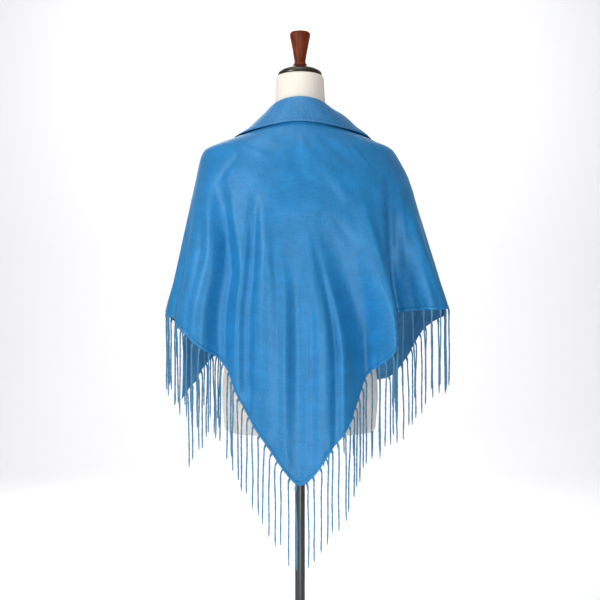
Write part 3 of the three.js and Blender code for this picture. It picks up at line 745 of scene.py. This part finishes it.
def shawl_grid(settings):
    """The middle of the whole cloth as a grid of columns by rows points, with each point's length
    from the free edge, each column's place along the hem, and the cloth's width.

    A column is an angle. Its rows climb the collar's fall, whose distance goes evenly from its own
    at the free edge to the roll's width at the top, plus 4 b s (1 - s) of bow at a share s of the
    drop. They go over the roll, part of a circle, and down the drape to the turned hem, which
    puckers by two sines that die away up the cloth as a bell curve."""
    band = settings.hem_width / MM
    at, width = stations(LEFT_END, RIGHT_END, COLUMNS)
    upper = table_at(UPPER_EDGE, 1, at)
    hem = table_at(HEM, 1, at)
    drop, stand, roll, bow = (table_at(COLLAR, k, at) for k in (1, 2, 3, 4))
    raised = overlap_step(at, settings.overlap / MM) - INSET
    middle, edge = [], []

    for share in FALL_SHARES:
        under, out = cloth_frame(at, upper - drop * share)
        off = 2 * roll + (stand - 2 * roll) * share + 4 * bow * share * (1 - share) + raised
        middle.append(under + out * off[:, None])
        edge.append(drop * (1 - share) * FALL_LENGTH)

    point, normal = cloth_frame(at, upper)
    climb = unit(np.array([0.0, 0.0, 1.0]) - normal * normal[:, 2:])
    for turn in ROLL_TURNS:
        out = normal * (1 + np.cos(turn)) + climb * np.sin(turn)
        middle.append(point + normal * raised[:, None] + out * roll[:, None])
        edge.append(drop * FALL_LENGTH + roll * turn)

    across = np.linspace(0, width, len(at))
    pucker = np.sin(across * 2 * np.pi / PUCKER_LENGTH)
    pucker += RIPPLE_SHARE * np.sin(across / RIPPLE_LENGTH)
    drape = upper - hem - band - HEM_GAP
    rows = [(upper - drape * share, 0.0) for share in DRAPE_SHARES]
    rows += [(hem + band * share + more, lift) for share, more, lift in HEM_ROWS]
    for height, lift in rows:
        under, out = cloth_frame(at, height)
        near = np.exp(-((height - hem) / PUCKER_REACH) ** 2)
        middle.append(under + out * (raised + lift + PUCKER * pucker * near)[:, None])
        edge.append(height - hem)
    return np.stack(middle, axis=1), np.stack(edge, axis=1), lengths(cloth_point(at, hem)), width


def build_shawl(settings):
    """One closed thin shell, half its thickness to each side of the middle surface, along the cross
    product of the surface's two directions. Its UV is the length across and down the cloth."""
    middle, edge, run, width = shawl_grid(settings)
    columns, rows = middle.shape[:2]
    out = unit(np.cross(np.gradient(middle, axis=1), np.gradient(middle, axis=0)))
    offset = out * (settings.thickness / MM / 2)
    across = np.broadcast_to(np.linspace(0, width, columns)[:, None], (columns, rows))
    uv = np.stack([across, lengths(middle)], axis=-1) * MM
    # Painted light: the second wall takes the paler colour that stands in for light through the cloth,
    # and the collar takes it in part
    reverse_share_and_light_through = np.ones((columns, rows))
    reverse_share_and_light_through[:, :len(FALL_SHARES) + len(ROLL_TURNS)] = COLLAR_DULLNESS
    values = {
        "edge": np.stack([edge, edge]),
        "run": np.broadcast_to(run[:, None], (2, columns, rows)),
        "reverse_and_light_through": np.stack([np.zeros((columns, rows)), reverse_share_and_light_through]),
    }
    piece = make_object("shawl_cloth", np.stack([middle + offset, middle - offset]),
                        wall_faces(columns, rows), np.stack([uv, uv]), values)
    piece.data.materials.append(satin_material(tuple(settings.cloth_colour)))
    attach(piece, "root")
    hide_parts("shawl_back", "shawl_left_wing", "shawl_right_wing", "shawl_collar")
    return piece


def hem_frame(at, overlap):
    """The hem's middle points, with the ways round it, out of the cloth and off its edge."""
    def line(angle):
        """The middle points and the way out of the cloth."""
        point, normal = cloth_frame(angle, table_at(HEM, 1, angle))
        return point + normal * (overlap_step(angle, overlap) - INSET)[:, None], normal

    point, normal = line(at)
    along = unit(line(at + 0.2)[0] - line(at - 0.2)[0])
    return point, along, normal, unit(np.cross(along, normal))


def vary(number, kind):
    """A repeatable value from -1 to 1 for each number: the last digits of a large sine."""
    value = np.sin(number * 12.9898 + kind * 78.233) * 43758.5453
    return 2 * (value - np.floor(value)) - 1


def build_fringe(name, node, start, end, seed, settings):
    """Strands of two-ply yarn. Each leaves the hem square to it, turns over in a quarter of an
    ellipse and hangs straight down, swinging and waving a little by sines. Its section has the
    radius core + lobe |cos| of an angle that turns as it goes, with a knot at the root that is a
    bell curve, and its ends are drawn in."""
    point, along, normal, away = hem_frame(np.linspace(start, end, 3000), settings.overlap / MM)
    run = lengths(point)
    pitch = settings.strand_pitch / MM
    places = np.arange(pitch / 2, run[-1], pitch)
    number = np.arange(len(places))[:, None] + seed
    places = places + STRAY * vary(number[:, 0], 6)

    def at_places(values):
        """The hem's values at each strand's root."""
        found = [np.interp(places, run, values[:, k]) for k in range(3)]
        return np.stack(found, axis=-1)[:, None]

    level = np.array([1.0, 1.0, 0.0])
    root, away = at_places(point), unit(at_places(away))
    side, outwards = unit(at_places(along) * level), unit(at_places(normal) * level)
    t = np.linspace(0, 1, STRAND_RINGS)
    s = t * settings.strand_length / MM * (1 + LENGTH_SPREAD * vary(number, 3))
    bend = BEND_LENGTH + BEND_SPREAD * vary(number, 4)
    turn = np.clip(s / bend, 0, 1) * np.pi / 2
    outward = bend * BEND_OUT * np.sin(turn) - ROOT_SUNK
    drop = np.where(s < bend, bend * BEND_DOWN * (1 - np.cos(turn)), s - bend * (1 - BEND_DOWN))
    path = root + away * outward[..., None]
    path[..., 2] -= drop
    hang, ripple = rise(s / 120), rise(s / 40)
    swing = (1.6 * vary(number, 1) + 5 * vary(number, 5) ** 3) * hang
    swing += 0.45 * np.sin(s / 19 + 6 * vary(number, 7)) * ripple
    wave = 2.2 * vary(number, 2) * hang
    wave += 0.5 * np.sin(s / 23 + 5 * vary(number, 8)) * ripple
    path = path + side * swing[..., None] + outwards * wave[..., None]
    direction = unit(np.gradient(path, axis=1))
    cross = unit(np.cross(direction, outwards))
    other = np.cross(cross, direction)

    angle = np.arange(STRAND_SIDES) * 2 * np.pi / STRAND_SIDES
    twist = angle - (s * 2 * np.pi / TWIST_LENGTH + number)[..., None]
    knot = 1 + KNOT_SIZE * np.exp(-((s - KNOT_PLACE) / KNOT_HALF) ** 2)
    fray = 1 - TIP_LOSS * rise((t - 0.9) / 0.1) + UNEVEN * np.sin(s / 5.1 + number)
    closed = np.ones(STRAND_RINGS)
    closed[[0, -1]] = 0.05
    lobes = YARN_CORE + YARN_LOBE * np.abs(np.cos(twist))
    radius = settings.yarn / MM / 2 * (knot * fray * closed)[..., None] * lobes
    ring = cross[..., None, :] * np.cos(angle)[:, None] + other[..., None, :] * np.sin(angle)[:, None]
    points = path[..., None, :] + ring * radius[..., None]
    first = np.arange(len(places)) * STRAND_RINGS * STRAND_SIDES
    faces = tube_faces(STRAND_RINGS, STRAND_SIDES) + first[:, None, None]
    uv = np.stack([np.broadcast_to(s[..., None] * MM * 40, twist.shape), twist * 0.01], axis=-1)
    piece = make_object(name, points, faces.reshape(-1, 4), uv)
    piece.data.materials.append(yarn_material(tuple(settings.fringe_colour)))
    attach(piece, "root")
    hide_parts(node)
    return piece


def build_body(settings):
    """The form's body: rounded sections up to the neck, less a bell curve across each seam: the
    middle of the back, of the front and four princess lines. Drawn in to a point at both ends."""
    at, height = np.meshgrid(np.linspace(0, 360, BODY_COLUMNS, endpoint=False),
                             np.linspace(BODY[0, 0], BODY[-1, 0], BODY_ROWS))
    side, back, front, power = (table_at(BODY, k, height) for k in (1, 2, 3, 4))
    flat = section(at, side, side, back, front, power)
    off = [turned(at - line) * np.radians(1) * SEAM_RADIUS for line in BODY_SEAMS]
    seam = sum(np.exp(-(x / SEAM_WIDTH) ** 2) for x in off)[..., None]
    flat = flat * (1 - SEAM_DEPTH * seam / np.linalg.norm(flat, axis=-1, keepdims=True))
    rings = np.concatenate([flat, height[..., None]], axis=-1)
    foot, head = ([ring * (share, share, 1) for share in END_SHARES] for ring in (rings[:1], rings[-1:]))
    points = np.concatenate([*foot, rings, *reversed(head)])
    piece = make_object("form_cover", points, tube_faces(len(points), BODY_COLUMNS))
    piece.data.materials.append(cover_material(tuple(settings.cover_colour)))
    finish_form(piece, "form_body")
    return piece


def build_turned(name, outline, foot, sides, material, node):
    """A turned piece: an outline of radius r and height, with more points on its straight lines,
    carried round the axis as x = r cos, y = r sin."""
    run = lengths(outline)
    fine = np.unique(np.concatenate([run, np.linspace(0, run[-1], OUTLINE_POINTS)]))[:, None]
    radius, height = (np.interp(fine, run, outline[:, k]) for k in (0, 1))
    angle = np.arange(sides) * 2 * np.pi / sides
    height = np.broadcast_to(height + foot, (len(fine), sides))
    points = np.stack([radius * np.cos(angle), radius * np.sin(angle), height], axis=-1)
    piece = make_object(name, points, tube_faces(len(fine), sides))
    piece.data.materials.append(material)
    finish_form(piece, node)
    return piece


def finish_form(piece, node):
    """What a piece of the form rides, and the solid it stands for."""
    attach(piece, "root")
    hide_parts(node)


def build_floor():
    """A level floor that sweeps up in a quarter circle behind the form into a flat backdrop."""
    sweep = np.linspace(0.08, 1, SWEEP_ROWS) * np.pi / 2
    depth = np.concatenate([
        np.linspace(FLOOR_FRONT, SWEEP_FROM, FLOOR_ROWS),
        SWEEP_FROM - SWEEP_RADIUS * np.sin(sweep),
        np.full(WALL_ROWS, SWEEP_FROM - SWEEP_RADIUS),
    ])
    up = np.concatenate([
        np.zeros(FLOOR_ROWS),
        SWEEP_RADIUS * (1 - np.cos(sweep)),
        np.linspace(WALL_LOW, WALL_TOP, WALL_ROWS),
    ])
    across = np.linspace(-FLOOR_SIDE, FLOOR_SIDE, FLOOR_COLUMNS)[:, None]
    points = np.stack(np.broadcast_arrays(across, depth, up), axis=-1) / MM
    floor = make_object("studio_floor", points, grid_faces(*points.shape[:2]))
    floor.data.materials.append(paper_material(PAPER))


def build_lamp(name, place, target, size, power):
    """A round soft lamp that points at its target."""
    data = bpy.data.lights.new("lamp_" + name, "AREA")
    data.shape = "DISK"
    data.size = size
    data.energy = power
    lamp = bpy.data.objects.new("lamp_" + name, data)
    lamp.location = place
    aim = np.array(target) - np.array(place)
    yaw = np.arctan2(aim[1], aim[0])
    tilt = np.arctan2(np.hypot(aim[0], aim[1]), -aim[2])
    lamp.rotation_euler = (tilt, 0.0, yaw - np.pi / 2)
    bpy.context.scene.collection.objects.link(lamp)


def build_studio(settings):
    """The floor and backdrop, the light from all round, the lamps and a level camera that looks
    at the back of the form."""
    build_floor()
    world = bpy.data.worlds.new("studio air")
    world.use_nodes = True
    air = world.node_tree.nodes["Background"]
    air.inputs["Color"].default_value = (1.0, 1.0, 1.0, 1.0)
    air.inputs["Strength"].default_value = AIR_STRENGTH * settings.brightness
    bpy.context.scene.world = world
    bpy.context.scene.view_settings.view_transform = "Standard"
    for name, place, target, size, power in LAMPS:
        build_lamp(name, place, target, size, power * settings.brightness)

    data = bpy.data.cameras.new("camera")
    data.sensor_width = SENSOR
    data.lens = LENS
    camera = bpy.data.objects.new("camera", data)
    camera.location = (0.0, settings.camera_distance, settings.camera_height)
    camera.rotation_euler = (np.pi / 2, 0.0, np.pi)
    bpy.context.scene.collection.objects.link(camera)
    bpy.context.scene.camera = camera


# ---------------------------------------------------------------- operators and panel

class SHAWL_OT_cloth(bpy.types.Operator):
    """Drape the satin shawl over the form"""
    bl_idname = "shawl.cloth"
    bl_label = "Build the cloth"

    def execute(self, context):
        build_shawl(context.scene.shawl_settings)
        return {"FINISHED"}


class SHAWL_OT_fringe(bpy.types.Operator):
    """Hang the knotted fringe along the two short sides"""
    bl_idname = "shawl.fringe"
    bl_label = "Build the fringe"

    def execute(self, context):
        settings = context.scene.shawl_settings
        cloth = bpy.data.objects.get("shawl_cloth")
        if cloth is None:
            raise RuntimeError("build the cloth first")
        fringes = [build_fringe(*stretch, settings) for stretch in FRINGES]
        return {"FINISHED"}


class SHAWL_OT_form(bpy.types.Operator):
    """Build the dress form's covered body and neck"""
    bl_idname = "shawl.form"
    bl_label = "Build the form"

    def execute(self, context):
        build_body(context.scene.form_settings)
        return {"FINISHED"}


class SHAWL_OT_stand(bpy.types.Operator):
    """Build the knob, neck cap, pole and base"""
    bl_idname = "shawl.stand"
    bl_label = "Build the knob and stand"

    def execute(self, context):
        settings = context.scene.form_settings
        metal = tuple(settings.metal_colour)
        dark = metal_material("dark cap metal", tuple(settings.cap_colour), 0.34, (60.0, 60.0, 400.0))
        gunmetal = metal_material("gunmetal", metal, 0.34, (500.0, 500.0, 12.0))
        plate = metal_material("gunmetal plate", metal, 0.42, (30.0, 30.0, 30.0))
        wood = wood_material(tuple(settings.wood_colour))
        build_turned("neck_cap", CAP, CAP_FOOT, 96, dark, "form_neck_cap")
        build_turned("turned_knob", KNOB, KNOB_FOOT, 64, wood, "form_knob")
        build_turned("stand_pole", POLE, POLE_FOOT, 64, gunmetal, "form_pole")
        build_turned("stand_base", BASE, BASE_FOOT, 160, plate, "form_base")
        return {"FINISHED"}


class SHAWL_OT_studio(bpy.types.Operator):
    """Set up the floor, the lamps and the camera"""
    bl_idname = "shawl.studio"
    bl_label = "Build the studio"

    def execute(self, context):
        build_studio(context.scene.studio_settings)
        return {"FINISHED"}


class SHAWL_PT_panel(bpy.types.Panel):
    """Lists the shawl's pieces and their settings"""
    bl_idname = "SHAWL_PT_panel"
    bl_label = "Fringed shawl"
    bl_space_type = "VIEW_3D"
    bl_region_type = "UI"
    bl_category = "Shawl"

    def draw(self, context):
        layout = self.layout
        for settings in ("shawl_settings", "form_settings", "studio_settings"):
            group = getattr(context.scene, settings)
            box = layout.box()
            for name in group.__annotations__:
                box.prop(group, name)
        for operator in OPERATORS:
            layout.operator(operator.bl_idname)


SETTINGS = (ShawlSettings, FormSettings, StudioSettings)
OPERATORS = (SHAWL_OT_studio, SHAWL_OT_form, SHAWL_OT_stand, SHAWL_OT_cloth, SHAWL_OT_fringe)


def register():
    """Register the settings, the operators and the panel."""
    for item in (*SETTINGS, *OPERATORS, SHAWL_PT_panel):
        bpy.utils.register_class(item)
    bpy.types.Scene.shawl_settings = bpy.props.PointerProperty(type=ShawlSettings)
    bpy.types.Scene.form_settings = bpy.props.PointerProperty(type=FormSettings)
    bpy.types.Scene.studio_settings = bpy.props.PointerProperty(type=StudioSettings)


def unregister():
    """Take the settings, the operators and the panel away again."""
    del bpy.types.Scene.shawl_settings
    del bpy.types.Scene.form_settings
    del bpy.types.Scene.studio_settings
    for item in reversed((*SETTINGS, *OPERATORS, SHAWL_PT_panel)):
        bpy.utils.unregister_class(item)


def main():
    """Build the studio and every piece."""
    register()
    bpy.ops.shawl.studio()
    bpy.ops.shawl.form()
    bpy.ops.shawl.stand()
    bpy.ops.shawl.cloth()
    bpy.ops.shawl.fringe()


if __name__ == "__main__":
    main()
